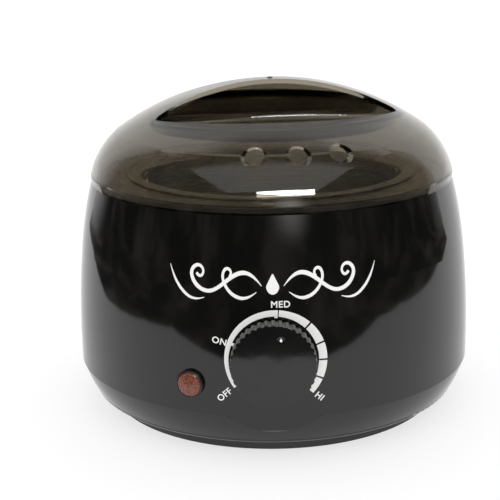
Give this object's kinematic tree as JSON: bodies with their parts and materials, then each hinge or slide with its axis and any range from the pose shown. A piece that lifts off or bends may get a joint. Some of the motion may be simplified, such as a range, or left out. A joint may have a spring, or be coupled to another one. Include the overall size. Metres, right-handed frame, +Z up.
{
  "type": "wax warmer pot",
  "caption": "Round black tabletop wax warmer with a dial and lamp, a heated well, a lift-out metal pot with a bail, and a smoked clear lid with a bridge grip and vents.",
  "frame": {"origin": "bottom centre of the object, on the surface its feet stand on", "axes": "+Z up, the dial faces -Y, +X to the right of someone who faces the dial"},
  "size_m": [0.181, 0.1973, 0.1483],
  "materials": {
    "gloss_black": "gloss",
    "knob_black": "semi-gloss",
    "smoked_clear": "gloss",
    "aluminium": "spun",
    "steel": "satin",
    "stainless_wire": "polished",
    "brass": "satin",
    "copper": "satin",
    "silicone": "matte",
    "black_rubber": "matte",
    "mica": "matte",
    "glass_fibre": "woven",
    "phenolic": "matte",
    "nylon_black": "satin",
    "nylon_white": "satin",
    "amber_clear": "gloss",
    "bulb_glass": "gloss",
    "lead_brown": "matte",
    "lead_blue": "matte",
    "lead_green": "matte",
    "lead_white": "matte",
    "resistor_body": "matte"
  },
  "bodies": {
    "housing": {"base_screws": "steel", "bracket_screws": "steel", "capillary_tube": "copper", "clamp_screw_and_nut": "steel", "earth_nut": "steel", "earth_tag": "brass", "foot_front_left": "black_rubber", "foot_front_right": "black_rubber", "foot_rear_left": "black_rubber", "foot_rear_right": "black_rubber", "fuse_sleeve": "glass_fibre", "gland_body": "nylon_black", "gland_cap": "nylon_black", "gland_locknut": "nylon_black", "gland_seal": "black_rubber", "heater_band": "mica", "heater_clamp": "steel", "heater_tabs": "brass", "heating_well": "aluminium", "indicator_bezel": "nylon_black", "indicator_lens": "amber_clear", "lamp_resistor": "resistor_body", "lead_earth": "lead_green", "lead_heater": "lead_white", "lead_lamp_live": "lead_white", "lead_lamp_neutral": "lead_white", "lead_live": "lead_brown", "lead_neutral": "lead_blue", "lead_switched": "lead_brown", "lower_shell": "gloss_black", "neon_bulb": "bulb_glass", "outer_housing": "gloss_black", "sensor_bulb": "copper", "sensor_clips": "steel", "terminal_block": "nylon_white", "terminal_clamps": "brass", "terminal_screws": "steel", "thermal_fuse": "aluminium", "thermostat_body": "phenolic", "thermostat_nut": "steel", "thermostat_tabs": "brass", "well_bracket": "steel", "well_nut": "steel", "well_seal": "silicone"},
    "pot": {"wax_pot": "aluminium", "pot_ear_left": "steel", "pot_ear_right": "steel", "ear_rivets": "aluminium"},
    "bail": {"bail_handle": "stainless_wire"},
    "lid": {"lid": "smoked_clear"},
    "knob": {"control_knob": "knob_black", "knob_spring_clip": "steel", "thermostat_shaft": "steel"}
  },
  "joints": [
    {"name": "pot_lift", "type": "slide", "parent": "housing", "child": "pot", "axis": [0, 0, 1], "range_m": [0, 0.09]},
    {"name": "lid_lift", "type": "slide", "parent": "pot", "child": "lid", "axis": [0, 0, 1], "range_m": [0, 0.06]},
    {"name": "bail_swing", "type": "hinge", "parent": "pot", "child": "bail", "pos_m": [0, 0, 0.097], "axis": [-1, 0, 0], "range_deg": [0, 180]},
    {"name": "knob_turn", "type": "hinge", "parent": "housing", "child": "knob", "pos_m": [0, -0.0911, 0.046], "axis": [0, 1, 0], "range_deg": [-143, 115]}
  ]
}
